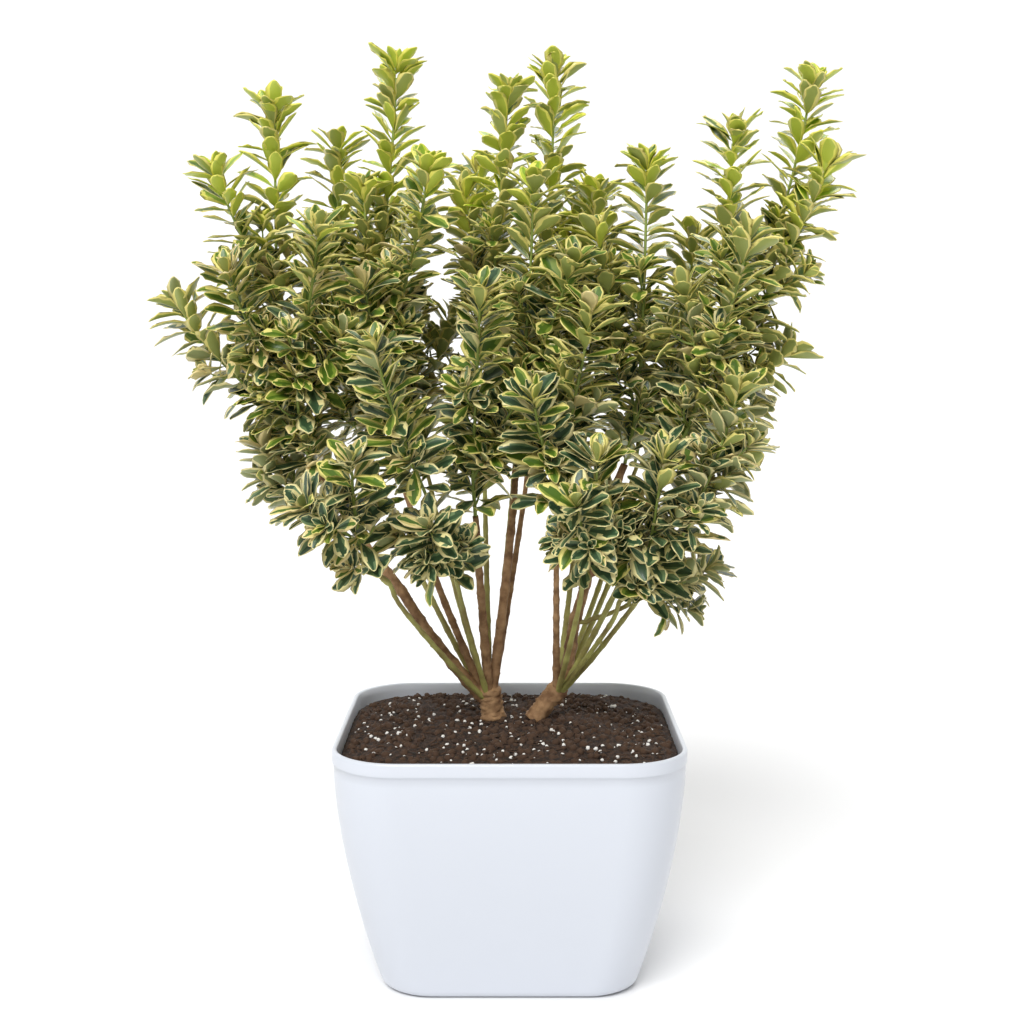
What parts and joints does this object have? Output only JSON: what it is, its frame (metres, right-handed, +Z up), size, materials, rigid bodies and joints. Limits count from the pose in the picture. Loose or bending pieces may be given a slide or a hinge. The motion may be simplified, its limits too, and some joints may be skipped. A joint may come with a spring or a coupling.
{
  "type": "potted variegated euonymus shrub",
  "caption": "Evergreen shrub with cream-edged green leaves on many upright woody stems, growing from soil in a square tapered plant pot.",
  "frame": {"origin": "middle of the pot's flat underside", "axes": "+Z up along the plant, -Y towards the side that the picture shows, +X to the right seen from there"},
  "size_m": [0.4847, 0.3183, 0.6584],
  "materials": {
    "pot": "smooth white plastic with a satin gloss",
    "soil": "moist dark potting mix with white perlite grains",
    "bark": "matt brown bark with leaf scars",
    "green_stem": "matt olive-green young bark",
    "leaf": "satin leaves, green in the middle with cream edges"
  },
  "bodies": {
    "root": {"bough_back_centre": "green_stem", "bough_back_left": "green_stem", "bough_back_right": "green_stem", "bough_centre_back": "green_stem", "bough_centre_front": "bark", "bough_centre_left": "green_stem", "bough_centre_low": "bark", "bough_centre_right": "bark", "bough_centre_tall": "bark", "bough_front_right": "green_stem", "bough_left_back": "green_stem", "bough_left_front": "green_stem", "bough_left_green": "green_stem", "bough_left_main": "bark", "bough_left_mid": "bark", "bough_left_twig": "green_stem", "bough_right_back": "green_stem", "bough_right_front": "green_stem", "bough_right_low": "green_stem", "bough_right_main": "bark", "bough_right_outer": "bark", "bough_right_side": "green_stem", "bough_right_twig": "green_stem", "leaves_back_centre_left": "leaf", "leaves_back_centre_right": "leaf", "leaves_back_left": "leaf", "leaves_back_left_low": "leaf", "leaves_back_right": "leaf", "leaves_back_right_low": "leaf", "leaves_centre_back": "leaf", "leaves_centre_front": "leaf", "leaves_centre_left": "leaf", "leaves_centre_low": "leaf", "leaves_centre_right": "leaf", "leaves_centre_right_low": "leaf", "leaves_centre_tall": "leaf", "leaves_front_right": "leaf", "leaves_green_shoot": "leaf", "leaves_left_back": "leaf", "leaves_left_cone": "leaf", "leaves_left_front": "leaf", "leaves_left_inner": "leaf", "leaves_left_low_front": "leaf", "leaves_left_outer": "leaf", "leaves_left_tall": "leaf", "leaves_left_twig": "leaf", "leaves_right_back": "leaf", "leaves_right_front": "leaf", "leaves_right_inner": "leaf", "leaves_right_low": "leaf", "leaves_right_mid": "leaf", "leaves_right_outer": "leaf", "leaves_right_side": "leaf", "leaves_right_twig": "leaf", "leaves_right_twig_near": "leaf", "pot": "pot", "soil": "soil", "stool_left": "bark", "stool_right": "bark"}
  },
  "joints": []
}
